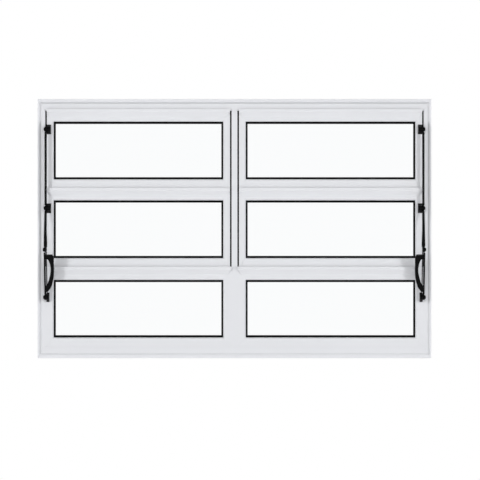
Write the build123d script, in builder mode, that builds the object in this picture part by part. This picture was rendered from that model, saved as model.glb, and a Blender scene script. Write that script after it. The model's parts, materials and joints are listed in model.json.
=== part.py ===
# Pivot window: aluminium frame, two columns of linked pivoting sashes over fixed panes.
# X runs to the right seen from the room, the room is on the -Y side, Z is up.
# Z = 0 is the underside of the sill body, Y = 0 is the sashes' pivot plane.

import os
from math import atan2, degrees, hypot

from build123d import *

# Overall frame
overall_width = 1200
overall_height = 790
lip_width = 9
lip_thickness = 2
lip_setback = 6
front_depth = 14
back_depth = 34
frame_wall = 1.6
head_height = 26.5
sill_height = 25.5
sill_fall = 5
jamb_width = 14.5
mullion_width = 17.8
face_chamfer = 6.5
jamb_chamfer = 3
jamb_flare = 3

# Sashes
running_gap = 5
sash_height = 235
sash_depth = 28
stile_width = 20.5
top_rail = 28.5
bottom_rail = 30.5
sash_wall = 1.6
pocket_depth = 8
pocket_width = 12
lip_bevel = 3
lap_height = 10
lap_thickness = 2
lap_ramp = 7
lap_ramp_length = 14

# Fixed lower row
transom_height = 31
fixed_bottom_rail = 28.5

# Glass and seals
glass_thickness = 4
glass_cover = 7
gasket_sight = 5
pile_width = 6
pile_rub_gap = 0.5

# Sash pivots
pivot_drop = 4
pivot_radius = 4
pivot_reach = 10
pivot_clearance = 0.06
boss_half = 7
pin_end_gap = 0.6

# Lugs and rods
lug_overhang = 0.4
lug_width = 13.3
lug_height = 29
lug_pin_reach = 14
lug_pin_rise = 69
lug_eye_radius = 7.5
pin_radius = 3.5
pin_clearance = 0.06
nut_across_corners = 12
nut_thickness = 3.2
layer_gap = 0.3
rod_thickness = 3
rod_width = 10
rod_eye_radius = 7
eye_relief = 1.5
lap_gap = 0.2
neck_thickness = 3
link_swell = 5.2
link_swell_start = 20

# Lever and its link
fulcrum_drop = 83.5
fulcrum_offset = 0.5
fulcrum_width = 8.5
link_drop = 126
link_lean = 33.7
open_pivot_clearance = 1.2
lever_hub_radius = 8
hub_thickness = 4.5
lever_depth = 12
limb_inset = 0.2
limb_thickness = 2.3
limb_spread = 6.8
slot_foot = 36
crossbar_drop = 16
crossbar_height = 12.8
grip_reach = 28.5
grip_band = 10.5
grip_foot = 16

# Wall fixings
fixing_radius = 3
fixing_inset_top = 122
fixing_inset_bottom = 122
fixing_depth = 22

# Positions that follow from the sizes above
body_half = overall_width / 2 - lip_width
body_height = overall_height - 2 * lip_width
daylight_half = body_half - jamb_width
mullion_half = mullion_width / 2
head_under = body_height - head_height
sash_front = -front_depth
sash_back = sash_depth - front_depth
sash_left = daylight_half - running_gap
sash_right = mullion_half + running_gap
sash_pitch = sash_height + running_gap
sash_top = head_under - running_gap
sash_base = sash_top - sash_height
pivot_z = sash_top - sash_height / 2 - pivot_drop
transom_top = sash_top - 2 * sash_pitch
pane_outer = sash_left - stile_width
pane_inner = sash_right + stile_width
lap_front = front_depth + lap_ramp
fixed_pane_top = transom_top - transom_height
fixed_pane_base = sill_height + fixed_bottom_rail
lug_face = sash_left + lug_overhang
fulcrum_face = sash_left + fulcrum_offset
lug_pin_y = -front_depth - lug_pin_reach
lug_pin_z = pivot_z + lug_pin_rise
rod_inner = lug_face + layer_gap
rod_outer = rod_inner + rod_thickness
eye_half = rod_thickness / 2 - lap_gap / 2
fulcrum_height = transom_top - fulcrum_drop
joint_z = lug_pin_z - sash_pitch - link_drop
joint_y = lug_pin_y - link_lean
lever_lean = degrees(atan2(link_lean, joint_z - fulcrum_height))
lever_length = hypot(link_lean, joint_z - fulcrum_height)


def profile(plane, outline, *cavities):
    """Closed outline on a plane, less its chambers."""
    with BuildSketch(plane) as sketch:
        with BuildLine():
            Polyline(*outline, close=True)
        make_face()
        for cavity in cavities:
            with BuildLine():
                Polyline(*cavity, close=True)
            make_face(mode=Mode.SUBTRACT)
    return sketch.sketch


def front_shape(*points):
    """Outline seen from the room, for cutting mitres."""
    return profile(Plane.XZ, points)


def box_points(u0, u1, v0, v1):
    """Corners of a rectangle."""
    return [(u0, v0), (u1, v0), (u1, v1), (u0, v1)]


# Head of the frame, with the wall-covering lip and the sloped face band
head_outline = [
    (-front_depth, head_under),
    (back_depth, head_under),
    (back_depth, body_height),
    (-front_depth + lip_setback + lip_thickness, body_height),
    (-front_depth + lip_setback + lip_thickness, body_height + lip_width),
    (-front_depth + lip_setback, body_height + lip_width),
    (-front_depth + lip_setback, body_height),
    (-front_depth, body_height - face_chamfer),
]
head_front_chamber = [
    (-front_depth + frame_wall, head_under + frame_wall),
    (sash_back - frame_wall / 2, head_under + frame_wall),
    (sash_back - frame_wall / 2, body_height - frame_wall),
    (-front_depth + lip_setback + frame_wall / 2, body_height - frame_wall),
    (-front_depth + frame_wall, body_height - face_chamfer),
]
head_back_chamber = box_points(
    sash_back + frame_wall / 2, back_depth - frame_wall,
    head_under + frame_wall, body_height - frame_wall,
)
lip_top = body_height + lip_width
with BuildPart() as head:
    section = profile(Plane.YZ.offset(-overall_width / 2), head_outline,
                      head_front_chamber, head_back_chamber)
    extrude(section, amount=overall_width)
    mitred = front_shape(
        (-overall_width / 2, lip_top), (overall_width / 2, lip_top),
        (daylight_half, head_under), (-daylight_half, head_under),
    )
    extrude(mitred, amount=overall_width, both=True, mode=Mode.INTERSECT)

# Sill, sloped to the outside so that rain runs off
sill_outline = [
    (-front_depth, sill_height),
    (sash_back, sill_height),
    (back_depth, sill_height - sill_fall),
    (back_depth, 0),
    (-front_depth + lip_setback + lip_thickness, 0),
    (-front_depth + lip_setback + lip_thickness, -lip_width),
    (-front_depth + lip_setback, -lip_width),
    (-front_depth + lip_setback, 0),
    (-front_depth, face_chamfer),
]
sill_front_chamber = [
    (-front_depth + frame_wall, sill_height - frame_wall),
    (sash_back - frame_wall / 2, sill_height - frame_wall),
    (sash_back - frame_wall / 2, frame_wall),
    (-front_depth + lip_setback + frame_wall / 2, frame_wall),
    (-front_depth + frame_wall, face_chamfer),
]
sill_back_chamber = [
    (sash_back + frame_wall / 2, sill_height - 2 * frame_wall),
    (back_depth - frame_wall, sill_height - sill_fall - 2 * frame_wall),
    (back_depth - frame_wall, frame_wall),
    (sash_back + frame_wall / 2, frame_wall),
]
with BuildPart() as sill:
    section = profile(Plane.YZ.offset(-overall_width / 2), sill_outline,
                      sill_front_chamber, sill_back_chamber)
    extrude(section, amount=overall_width)
    mitred = front_shape(
        (-overall_width / 2, -lip_width), (overall_width / 2, -lip_width),
        (daylight_half, sill_height), (-daylight_half, sill_height),
    )
    extrude(mitred, amount=overall_width, both=True, mode=Mode.INTERSECT)

# Jambs with their pressed-in pivot pins, bored for the wall screws
jamb_outline = [
    (-daylight_half, -front_depth),
    (-daylight_half, back_depth),
    (-body_half, back_depth),
    (-body_half, -front_depth + lip_setback + lip_thickness),
    (-overall_width / 2, -front_depth + lip_setback + lip_thickness),
    (-overall_width / 2, -front_depth + lip_setback),
    (-body_half - jamb_flare, -front_depth + lip_setback),
    (-body_half + jamb_chamfer, -front_depth),
]
jamb_front_chamber = [
    (-daylight_half - frame_wall, -front_depth + frame_wall),
    (-daylight_half - frame_wall, sash_back - frame_wall / 2),
    (-body_half + frame_wall, sash_back - frame_wall / 2),
    (-body_half + frame_wall, -front_depth + jamb_chamfer + frame_wall / 2),
    (-body_half + jamb_chamfer + frame_wall / 2, -front_depth + frame_wall),
]
jamb_back_chamber = box_points(
    -body_half + frame_wall, -daylight_half - frame_wall,
    sash_back + frame_wall / 2, back_depth - frame_wall,
)
pivot_heights = [pivot_z, pivot_z - sash_pitch]
pin_length = frame_wall + running_gap + pivot_reach
fixing_heights = [fixing_inset_bottom, body_height - fixing_inset_top]
with BuildPart() as left_jamb:
    section = profile(Plane.XY.offset(-lip_width), jamb_outline,
                      jamb_front_chamber, jamb_back_chamber)
    extrude(section, amount=overall_height)
    mitred = front_shape(
        (-overall_width / 2, -lip_width), (-overall_width / 2, lip_top),
        (-daylight_half, head_under), (-daylight_half, sill_height),
    )
    extrude(mitred, amount=overall_width, both=True, mode=Mode.INTERSECT)
    with Locations(*[(-daylight_half + pin_length / 2 - frame_wall, 0, z) for z in pivot_heights]):
        Cylinder(pivot_radius, pin_length, rotation=(0, 90, 0))
    with Locations(*[(-daylight_half - jamb_width / 2, fixing_depth, z) for z in fixing_heights]):
        Cylinder(fixing_radius, 2 * jamb_width, rotation=(0, 90, 0), mode=Mode.SUBTRACT)

with BuildPart() as right_jamb:
    add(mirror(left_jamb.part, about=Plane.YZ))

# Mullion between the two columns, with a pin right through it for each pair of sashes
mullion_front_chamber = box_points(
    -mullion_half + frame_wall, mullion_half - frame_wall,
    -front_depth + frame_wall, sash_back - frame_wall / 2,
)
mullion_back_chamber = box_points(
    -mullion_half + frame_wall, mullion_half - frame_wall,
    sash_back + frame_wall / 2, back_depth - frame_wall,
)
with BuildPart() as mullion:
    outline = box_points(-mullion_half, mullion_half, -front_depth, back_depth)
    section = profile(Plane.XY, outline, mullion_front_chamber, mullion_back_chamber)
    extrude(section, amount=head_under)
    foot = profile(Plane.YZ.offset(-mullion_half), [
        (-front_depth, 0), (-front_depth, sill_height), (sash_back, sill_height),
        (back_depth, sill_height - sill_fall), (back_depth, 0),
    ])
    extrude(foot, amount=mullion_width, mode=Mode.SUBTRACT)
    with Locations(*[(0, 0, z) for z in pivot_heights]):
        Cylinder(pivot_radius, mullion_width + 2 * (running_gap + pivot_reach), rotation=(0, 90, 0))


def rail_outline(top, height):
    """Section of a top rail: room-side upstand, ramp below it, glazing pocket underneath."""
    return [
        (-lap_front, top + lap_height),
        (-lap_front + lap_thickness, top + lap_height),
        (-lap_front + lap_thickness, top),
        (sash_back, top),
        (sash_back, top - height + lip_bevel),
        (sash_back - lip_bevel, top - height),
        (pocket_width / 2, top - height),
        (pocket_width / 2, top - height + pocket_depth),
        (-pocket_width / 2, top - height + pocket_depth),
        (-pocket_width / 2, top - height),
        (-front_depth + lip_bevel, top - height),
        (-front_depth, top - height + lip_bevel),
        (-front_depth, top - lap_ramp_length),
        (-lap_front, top),
    ]


def rail_chamber(top, height):
    """Hollow of a top rail."""
    return [
        (-front_depth + sash_wall, top - height + pocket_depth + sash_wall),
        (sash_back - sash_wall, top - height + pocket_depth + sash_wall),
        (sash_back - sash_wall, top - sash_wall),
        (-lap_front + 2 * sash_wall, top - sash_wall),
        (-front_depth + sash_wall, top - lap_ramp_length),
    ]


def drip_outline(base, height):
    """Section of a sash's bottom rail: glazing pocket on top, drip lap on the outside."""
    drip_front = sash_back + lap_ramp
    return [
        (-front_depth, base),
        (drip_front - lap_thickness, base),
        (drip_front - lap_thickness, base - lap_height),
        (drip_front, base - lap_height),
        (drip_front, base),
        (sash_back, base + lap_ramp),
        (sash_back, base + height - lip_bevel),
        (sash_back - lip_bevel, base + height),
        (pocket_width / 2, base + height),
        (pocket_width / 2, base + height - pocket_depth),
        (-pocket_width / 2, base + height - pocket_depth),
        (-pocket_width / 2, base + height),
        (-front_depth + lip_bevel, base + height),
        (-front_depth, base + height - lip_bevel),
    ]


def drip_chamber(base, height):
    """Hollow of a bottom rail."""
    return [
        (-front_depth + sash_wall, base + height - pocket_depth - sash_wall),
        (-front_depth + sash_wall, base + sash_wall),
        (sash_back + lap_ramp - 2 * sash_wall, base + sash_wall),
        (sash_back - sash_wall, base + lap_ramp),
        (sash_back - sash_wall, base + height - pocket_depth - sash_wall),
    ]


def stile_outline(outer, inner):
    """Section of an upright whose glazing pocket faces from outer towards inner."""
    side = 1 if inner > outer else -1
    return [
        (outer, -front_depth),
        (inner - side * lip_bevel, -front_depth),
        (inner, -front_depth + lip_bevel),
        (inner, -pocket_width / 2),
        (inner - side * pocket_depth, -pocket_width / 2),
        (inner - side * pocket_depth, pocket_width / 2),
        (inner, pocket_width / 2),
        (inner, sash_back - lip_bevel),
        (inner - side * lip_bevel, sash_back),
        (outer, sash_back),
    ]


def stile_chamber(outer, inner):
    """Hollow of an upright."""
    side = 1 if inner > outer else -1
    return box_points(
        outer + side * sash_wall, inner - side * (pocket_depth + sash_wall),
        -front_depth + sash_wall, sash_back - sash_wall,
    )


# Rails of the top left sash, mitred to the stiles, with laps as wide as the sash
with BuildPart() as left_rails:
    section = profile(Plane.YZ.offset(-sash_left), rail_outline(sash_top, top_rail),
                      rail_chamber(sash_top, top_rail))
    extrude(section, amount=sash_left - sash_right)
    section = profile(Plane.YZ.offset(-sash_left), drip_outline(sash_base, bottom_rail),
                      drip_chamber(sash_base, bottom_rail))
    extrude(section, amount=sash_left - sash_right)
    mitred = front_shape(
        (-sash_left, sash_top + lap_height), (-sash_right, sash_top + lap_height),
        (-sash_right, sash_top), (-pane_inner, sash_top - top_rail),
        (-pane_inner, sash_base + bottom_rail), (-sash_right, sash_base),
        (-sash_right, sash_base - lap_height), (-sash_left, sash_base - lap_height),
        (-sash_left, sash_base), (-pane_outer, sash_base + bottom_rail),
        (-pane_outer, sash_top - top_rail), (-sash_left, sash_top),
    )
    extrude(mitred, amount=overall_width, both=True, mode=Mode.INTERSECT)

# Stiles of the top left sash, with a bored boss behind each pivot
with BuildPart() as left_stiles:
    outer_section = profile(Plane.XY.offset(sash_base), stile_outline(-sash_left, -pane_outer),
                            stile_chamber(-sash_left, -pane_outer))
    extrude(outer_section, amount=sash_height)
    inner_section = profile(Plane.XY.offset(sash_base), stile_outline(-sash_right, -pane_inner),
                            stile_chamber(-sash_right, -pane_inner))
    extrude(inner_section, amount=sash_height)
    with BuildSketch(Plane.XZ) as uprights:
        with BuildLine():
            Polyline((-sash_left, sash_base), (-sash_left, sash_top),
                     (-pane_outer, sash_top - top_rail),
                     (-pane_outer, sash_base + bottom_rail), close=True)
        make_face()
        with BuildLine():
            Polyline((-sash_right, sash_base), (-sash_right, sash_top),
                     (-pane_inner, sash_top - top_rail),
                     (-pane_inner, sash_base + bottom_rail), close=True)
        make_face()
    extrude(uprights.sketch, amount=overall_width, both=True, mode=Mode.INTERSECT)
    boss_length = stile_width - pocket_depth
    with Locations((-sash_left + boss_length / 2, 0, pivot_z), (-sash_right - boss_length / 2, 0, pivot_z)):
        Box(boss_length, 2 * boss_half, 2 * boss_half)
    with Locations((-sash_left, 0, pivot_z), (-sash_right, 0, pivot_z)):
        Cylinder(pivot_radius + pivot_clearance, 2 * (pivot_reach + pin_end_gap), rotation=(0, 90, 0),
                 mode=Mode.SUBTRACT)


def pane(x_low, x_high, z_low, z_high, cover):
    """Box outline of a pane that reaches into its pockets by the given cover."""
    return box_points(x_low - cover, x_high + cover, z_low - cover, z_high + cover)


# Glass of the top left sash
with BuildPart() as left_glass:
    sheet = profile(Plane.XZ, pane(-pane_outer, -pane_inner, sash_base + bottom_rail,
                                   sash_top - top_rail, glass_cover))
    extrude(sheet, amount=glass_thickness / 2, both=True)

# Gasket of the top left sash, a channel round the edge of the glass
with BuildPart() as left_gasket:
    ring = profile(
        Plane.XZ,
        pane(-pane_outer, -pane_inner, sash_base + bottom_rail, sash_top - top_rail, pocket_depth),
        pane(-pane_outer, -pane_inner, sash_base + bottom_rail, sash_top - top_rail, -gasket_sight),
    )
    extrude(ring, amount=pocket_width / 2, both=True)
    sheet = profile(Plane.XZ, pane(-pane_outer, -pane_inner, sash_base + bottom_rail,
                                   sash_top - top_rail, glass_cover))
    extrude(sheet, amount=glass_thickness / 2, both=True, mode=Mode.SUBTRACT)


def lug_sketch(face, z):
    """Side view of a lug: a foot on the frame or sash face that narrows to an eye."""
    with BuildSketch(Plane.YZ.offset(-face)) as sketch:
        with BuildLine():
            Polyline((-front_depth, z - lug_height / 2), (-front_depth, z + lug_height / 2),
                     (-front_depth - 3, z + lug_height / 2), (-front_depth - 3, z - lug_height / 2),
                     close=True)
        make_face()
        with Locations((lug_pin_y, z)):
            Circle(lug_eye_radius)
        make_hull()
    return sketch.sketch


def nut_sketch(x, y, z):
    """Hexagon of a nut whose outer face lies at x."""
    with BuildSketch(Plane.YZ.offset(x)) as sketch:
        with Locations((y, z)):
            RegularPolygon(nut_across_corners / 2, 6)
    return sketch.sketch


# Lug on the outer stile of the top left sash, with the rod's pin and nut
with BuildPart() as left_lug:
    extrude(lug_sketch(lug_face, lug_pin_z), amount=lug_width)
    shank = rod_outer + layer_gap - lug_face
    with Locations((-lug_face - shank / 2, lug_pin_y, lug_pin_z)):
        Cylinder(pin_radius, shank, rotation=(0, 90, 0))
    nut = nut_sketch(-rod_outer - layer_gap - nut_thickness, lug_pin_y, lug_pin_z)
    extrude(nut, amount=nut_thickness)

# Rod that ties the two sashes' lugs together, half-lapped at its lower eye
rod_low = lug_pin_z - sash_pitch
with BuildPart() as left_rod:
    with BuildSketch(Plane.YZ.offset(-rod_outer)) as bar:
        with Locations((lug_pin_y, (lug_pin_z + rod_low) / 2)):
            Rectangle(rod_width, sash_pitch)
        with Locations((lug_pin_y, lug_pin_z), (lug_pin_y, rod_low)):
            Circle(rod_eye_radius)
        with Locations((lug_pin_y, lug_pin_z), (lug_pin_y, rod_low)):
            Circle(pin_radius + pin_clearance, mode=Mode.SUBTRACT)
    extrude(bar.sketch, amount=rod_thickness)
    with Locations((-rod_outer + (rod_thickness - eye_half) / 2, lug_pin_y, rod_low)):
        Box(rod_thickness - eye_half, 3 * rod_eye_radius, 2 * (rod_eye_radius + eye_relief),
            mode=Mode.SUBTRACT)

# Link from the middle lug down to the lever, with a slack eye at the lever
link_length = hypot(link_lean, link_drop)
link_plane = Plane(
    origin=(-rod_outer, lug_pin_y, rod_low), x_dir=(0, link_drop, -link_lean), z_dir=(1, 0, 0)
)
with BuildPart() as left_link:
    with BuildSketch(link_plane) as bar:
        with Locations((0, -link_length / 2)):
            Rectangle(rod_width, link_length)
        with Locations((0, 0), (0, -link_length)):
            Circle(rod_eye_radius)
        Circle(pin_radius + pin_clearance, mode=Mode.SUBTRACT)
        with Locations((0, -link_length)):
            Circle(pin_radius + open_pivot_clearance, mode=Mode.SUBTRACT)
    extrude(bar.sketch, amount=rod_thickness + link_swell)
    widening = front_shape(
        (-rod_outer, rod_low + 2 * rod_eye_radius),
        (-rod_outer + eye_half, rod_low + 2 * rod_eye_radius),
        (-rod_outer + eye_half, rod_low - rod_eye_radius - eye_relief),
        (-rod_inner, rod_low - rod_eye_radius - eye_relief),
        (-rod_inner, rod_low - link_swell_start),
        (-rod_inner + link_swell, joint_z + link_swell_start),
        (-rod_inner + link_swell, joint_z + rod_eye_radius + eye_relief),
        (-rod_inner, joint_z + rod_eye_radius + eye_relief),
        (-rod_inner, joint_z - 2 * rod_eye_radius),
        (-rod_outer, joint_z - 2 * rod_eye_radius),
    )
    extrude(widening, amount=overall_width, both=True, mode=Mode.INTERSECT)

# Lever with its curved finger grip, leaning into the room
lever_plane = Plane(
    origin=(0, lug_pin_y, fulcrum_height), x_dir=(1, 0, 0),
    z_dir=(0, -(joint_z - fulcrum_height), -link_lean),
)
hub_inner = -fulcrum_face - layer_gap
hub_outer = hub_inner - hub_thickness
limb_outer = -rod_outer + limb_inset
limb_inner = limb_outer + limb_spread
grip_right = limb_outer + grip_reach
crossbar_top = lever_length - crossbar_drop
crossbar_low = crossbar_top - crossbar_height
neck_left = -rod_inner + layer_gap
with BuildPart() as left_lever:
    with BuildSketch(lever_plane) as arm:
        with BuildLine():
            Polyline(
                (hub_outer, 0), (hub_outer, lever_hub_radius), (limb_outer, 2 * lever_hub_radius),
                (limb_outer, crossbar_top), (limb_inner, crossbar_top),
                (limb_inner, grip_foot + 4), (hub_inner, grip_foot), (hub_inner, 0), close=True,
            )
        make_face()
        with BuildLine():
            Polyline(
                (limb_outer + limb_thickness, slot_foot), (limb_outer + limb_thickness, crossbar_low),
                (limb_inner - limb_thickness, crossbar_low), (limb_inner - limb_thickness, slot_foot),
                close=True,
            )
        make_face(mode=Mode.SUBTRACT)
    extrude(arm.sketch, amount=lever_depth / 2, both=True)
    with BuildSketch(lever_plane) as grip:
        with BuildLine():
            Line((limb_inner - limb_thickness, crossbar_top), (grip_right - 7, crossbar_top))
            Spline(
                (grip_right - 7, crossbar_top), (grip_right - 0.5, 0.86 * crossbar_top),
                (grip_right - 0.8, 0.6 * crossbar_top), (grip_right - 10, 0.25 * crossbar_top),
                (limb_inner, grip_foot), tangents=[(1, -0.2), (-1, -1.4)],
            )
            Line((limb_inner, grip_foot), (limb_inner - limb_thickness, grip_foot + 6))
            Line((limb_inner - limb_thickness, grip_foot + 6), (limb_inner - limb_thickness, crossbar_top))
        make_face()
        with BuildLine():
            Line((limb_inner, crossbar_low), (limb_inner + 2.5, crossbar_low))
            Spline(
                (limb_inner + 2.5, crossbar_low), (grip_right - grip_band, 0.72 * crossbar_top),
                (limb_inner, 0.3 * crossbar_top), tangents=[(1, -1.2), (-0.35, -1)],
            )
            Line((limb_inner, 0.3 * crossbar_top), (limb_inner, crossbar_low))
        make_face(mode=Mode.SUBTRACT)
    extrude(grip.sketch, amount=lever_depth / 2, both=True)
    with Locations((hub_outer + hub_thickness / 2, lug_pin_y, fulcrum_height)):
        Cylinder(lever_hub_radius, hub_thickness, rotation=(0, 90, 0))
    with Locations((hub_outer, lug_pin_y, fulcrum_height)):
        Cylinder(pin_radius + pin_clearance, 4 * hub_thickness, rotation=(0, 90, 0), mode=Mode.SUBTRACT)
    with BuildSketch(lever_plane) as neck:
        with Locations((neck_left + neck_thickness / 2, (crossbar_low + lever_length) / 2)):
            Rectangle(neck_thickness, lever_length - crossbar_low)
    extrude(neck.sketch, amount=rod_eye_radius - 1, both=True)
    with Locations((neck_left + neck_thickness / 2, joint_y, joint_z)):
        Cylinder(rod_eye_radius, neck_thickness, rotation=(0, 90, 0))
    shank = rod_thickness + 2 * layer_gap
    with Locations((neck_left - shank / 2, joint_y, joint_z)):
        Cylinder(pin_radius, shank, rotation=(0, 90, 0))
    extrude(nut_sketch(neck_left - shank - nut_thickness, joint_y, joint_z), amount=nut_thickness)

# Lugs that carry the levers, on the fixed stiles
with BuildPart() as fulcrum_lugs:
    extrude(lug_sketch(fulcrum_face, fulcrum_height), amount=fulcrum_width)
    shank = -hub_outer + layer_gap - fulcrum_face
    with Locations((-fulcrum_face - shank / 2, lug_pin_y, fulcrum_height)):
        Cylinder(pin_radius, shank, rotation=(0, 90, 0))
    nut = nut_sketch(hub_outer - layer_gap - nut_thickness, lug_pin_y, fulcrum_height)
    extrude(nut, amount=nut_thickness)
    mirror(about=Plane.YZ)

# Transoms over the fixed panes
with BuildPart() as transoms:
    section = profile(Plane.YZ.offset(-daylight_half), rail_outline(transom_top, transom_height),
                      rail_chamber(transom_top, transom_height))
    extrude(section, amount=daylight_half - mullion_half)
    fixed_outer_width = daylight_half - pane_outer
    mitred = front_shape(
        (-daylight_half, transom_top + lap_height), (-mullion_half, transom_top + lap_height),
        (-mullion_half, transom_top), (-pane_inner, fixed_pane_top),
        (-pane_outer, fixed_pane_top), (-daylight_half, transom_top),
    )
    extrude(mitred, amount=overall_width, both=True, mode=Mode.INTERSECT)
    mirror(about=Plane.YZ)

# Uprights beside the fixed panes
with BuildPart() as fixed_stiles:
    outer_section = profile(Plane.XY.offset(sill_height), stile_outline(-daylight_half, -pane_outer),
                            stile_chamber(-daylight_half, -pane_outer))
    extrude(outer_section, amount=transom_top - sill_height)
    inner_section = profile(Plane.XY.offset(sill_height), stile_outline(-mullion_half, -pane_inner),
                            stile_chamber(-mullion_half, -pane_inner))
    extrude(inner_section, amount=transom_top - sill_height)
    with BuildSketch(Plane.XZ) as uprights:
        with BuildLine():
            Polyline((-daylight_half, sill_height), (-daylight_half, transom_top),
                     (-pane_outer, fixed_pane_top), (-pane_outer, fixed_pane_base), close=True)
        make_face()
        with BuildLine():
            Polyline((-mullion_half, sill_height), (-mullion_half, transom_top),
                     (-pane_inner, fixed_pane_top), (-pane_inner, fixed_pane_base), close=True)
        make_face()
    extrude(uprights.sketch, amount=overall_width, both=True, mode=Mode.INTERSECT)
    mirror(about=Plane.YZ)

# Bottom rails under the fixed panes
with BuildPart() as fixed_rails:
    outline = [
        (-front_depth, sill_height),
        (sash_back, sill_height),
        (sash_back, fixed_pane_base - lip_bevel),
        (sash_back - lip_bevel, fixed_pane_base),
        (pocket_width / 2, fixed_pane_base),
        (pocket_width / 2, fixed_pane_base - pocket_depth),
        (-pocket_width / 2, fixed_pane_base - pocket_depth),
        (-pocket_width / 2, fixed_pane_base),
        (-front_depth + lip_bevel, fixed_pane_base),
        (-front_depth, fixed_pane_base - lip_bevel),
    ]
    section = profile(Plane.YZ.offset(-daylight_half), outline,
                      drip_chamber(sill_height, fixed_bottom_rail))
    extrude(section, amount=daylight_half - mullion_half)
    mitred = front_shape(
        (-daylight_half, sill_height), (-mullion_half, sill_height),
        (-pane_inner, fixed_pane_base), (-pane_outer, fixed_pane_base),
    )
    extrude(mitred, amount=overall_width, both=True, mode=Mode.INTERSECT)
    mirror(about=Plane.YZ)

# Fixed glass and its gaskets
with BuildPart() as fixed_glass:
    sheet = profile(Plane.XZ, pane(-pane_outer, -pane_inner, fixed_pane_base, fixed_pane_top,
                                   glass_cover))
    extrude(sheet, amount=glass_thickness / 2, both=True)
    mirror(about=Plane.YZ)

with BuildPart() as fixed_gaskets:
    ring = profile(
        Plane.XZ,
        pane(-pane_outer, -pane_inner, fixed_pane_base, fixed_pane_top, pocket_depth),
        pane(-pane_outer, -pane_inner, fixed_pane_base, fixed_pane_top, -gasket_sight),
    )
    extrude(ring, amount=pocket_width / 2, both=True)
    sheet = profile(Plane.XZ, pane(-pane_outer, -pane_inner, fixed_pane_base, fixed_pane_top,
                                   glass_cover))
    extrude(sheet, amount=glass_thickness / 2, both=True, mode=Mode.SUBTRACT)
    mirror(about=Plane.YZ)

# Brush seals in the running gaps, broken at the pivots
pile_height = running_gap - pile_rub_gap
pile_break = pivot_radius + 3
with BuildPart() as brush_seals:
    for z, base in ((pivot_z, sash_base), (pivot_z - sash_pitch, sash_base - sash_pitch)):
        for wall_x, inward in ((-daylight_half, 1), (-mullion_half, -1)):
            lower = z - pile_break - base
            upper = base + sash_height - z - pile_break
            with Locations((wall_x + inward * pile_height / 2, 0, base + lower / 2)):
                Box(pile_height, pile_width, lower)
            with Locations((wall_x + inward * pile_height / 2, 0, z + pile_break + upper / 2)):
                Box(pile_height, pile_width, upper)
    mirror(about=Plane.YZ)

# Write each piece as its own solid in the shared frame
os.makedirs("parts", exist_ok=True)

frame_pieces = {
    "head": head,
    "sill": sill,
    "left_jamb": left_jamb,
    "right_jamb": right_jamb,
    "mullion": mullion,
    "transoms": transoms,
    "fixed_stiles": fixed_stiles,
    "fixed_rails": fixed_rails,
    "fixed_glass": fixed_glass,
    "fixed_gaskets": fixed_gaskets,
    "fulcrum_lugs": fulcrum_lugs,
    "brush_seals": brush_seals,
}
for name, piece in frame_pieces.items():
    piece.part.label = name
    export_step(piece.part, "parts/" + name + ".step")

sash_pieces = {
    "rails": left_rails,
    "stiles": left_stiles,
    "glass": left_glass,
    "gasket": left_gasket,
    "lug": left_lug,
}
for name, piece in sash_pieces.items():
    for row, drop in (("top", 0), ("middle", sash_pitch)):
        moved = Pos(0, 0, -drop) * piece.part
        for side, solid in (("left", moved), ("right", mirror(moved, about=Plane.YZ))):
            label = side + "_" + row + "_" + name
            solid.label = label
            export_step(solid, "parts/" + label + ".step")

gear_pieces = {"rod": left_rod, "link": left_link, "lever": left_lever}
for name, piece in gear_pieces.items():
    for side, solid in (("left", piece.part), ("right", mirror(piece.part, about=Plane.YZ))):
        label = side + "_" + name
        solid.label = label
        export_step(solid, "parts/" + label + ".step")
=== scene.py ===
"""Pivot window: coats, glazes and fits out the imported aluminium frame, then lights it."""

import json
import math

import bmesh
import bpy
from bpy.props import FloatProperty, FloatVectorProperty, PointerProperty
from mathutils import Matrix, Vector


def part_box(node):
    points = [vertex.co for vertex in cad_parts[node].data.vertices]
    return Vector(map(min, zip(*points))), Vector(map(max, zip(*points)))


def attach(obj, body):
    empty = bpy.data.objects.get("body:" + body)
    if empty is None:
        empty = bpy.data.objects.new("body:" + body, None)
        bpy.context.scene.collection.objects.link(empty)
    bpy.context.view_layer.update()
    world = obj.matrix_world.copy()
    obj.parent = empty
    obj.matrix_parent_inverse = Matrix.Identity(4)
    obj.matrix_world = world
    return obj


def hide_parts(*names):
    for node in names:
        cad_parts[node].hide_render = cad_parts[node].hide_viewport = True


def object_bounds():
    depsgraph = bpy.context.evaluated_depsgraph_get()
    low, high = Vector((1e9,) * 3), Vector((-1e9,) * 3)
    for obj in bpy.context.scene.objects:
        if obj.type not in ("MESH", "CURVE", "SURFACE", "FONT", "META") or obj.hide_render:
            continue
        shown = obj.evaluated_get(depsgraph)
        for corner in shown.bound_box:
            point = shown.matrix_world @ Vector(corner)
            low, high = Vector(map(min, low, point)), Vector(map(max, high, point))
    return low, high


bl_info = {
    "name": "Pivot Window Finishes",
    "version": (1, 0, 0),
    "blender": (4, 5, 0),
    "location": "3D View > Sidebar > Window",
    "description": "Coats, glazes, seals and fits out a pivot window and sets its studio",
    "category": "Object",
}

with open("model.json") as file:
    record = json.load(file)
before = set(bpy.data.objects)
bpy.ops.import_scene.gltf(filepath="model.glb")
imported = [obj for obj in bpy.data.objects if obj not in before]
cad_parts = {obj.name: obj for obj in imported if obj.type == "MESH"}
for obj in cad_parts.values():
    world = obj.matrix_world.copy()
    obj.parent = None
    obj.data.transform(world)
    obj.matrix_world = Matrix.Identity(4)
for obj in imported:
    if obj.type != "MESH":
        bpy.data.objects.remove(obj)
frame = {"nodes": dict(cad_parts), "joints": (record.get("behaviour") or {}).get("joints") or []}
CAD_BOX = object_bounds()

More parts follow.
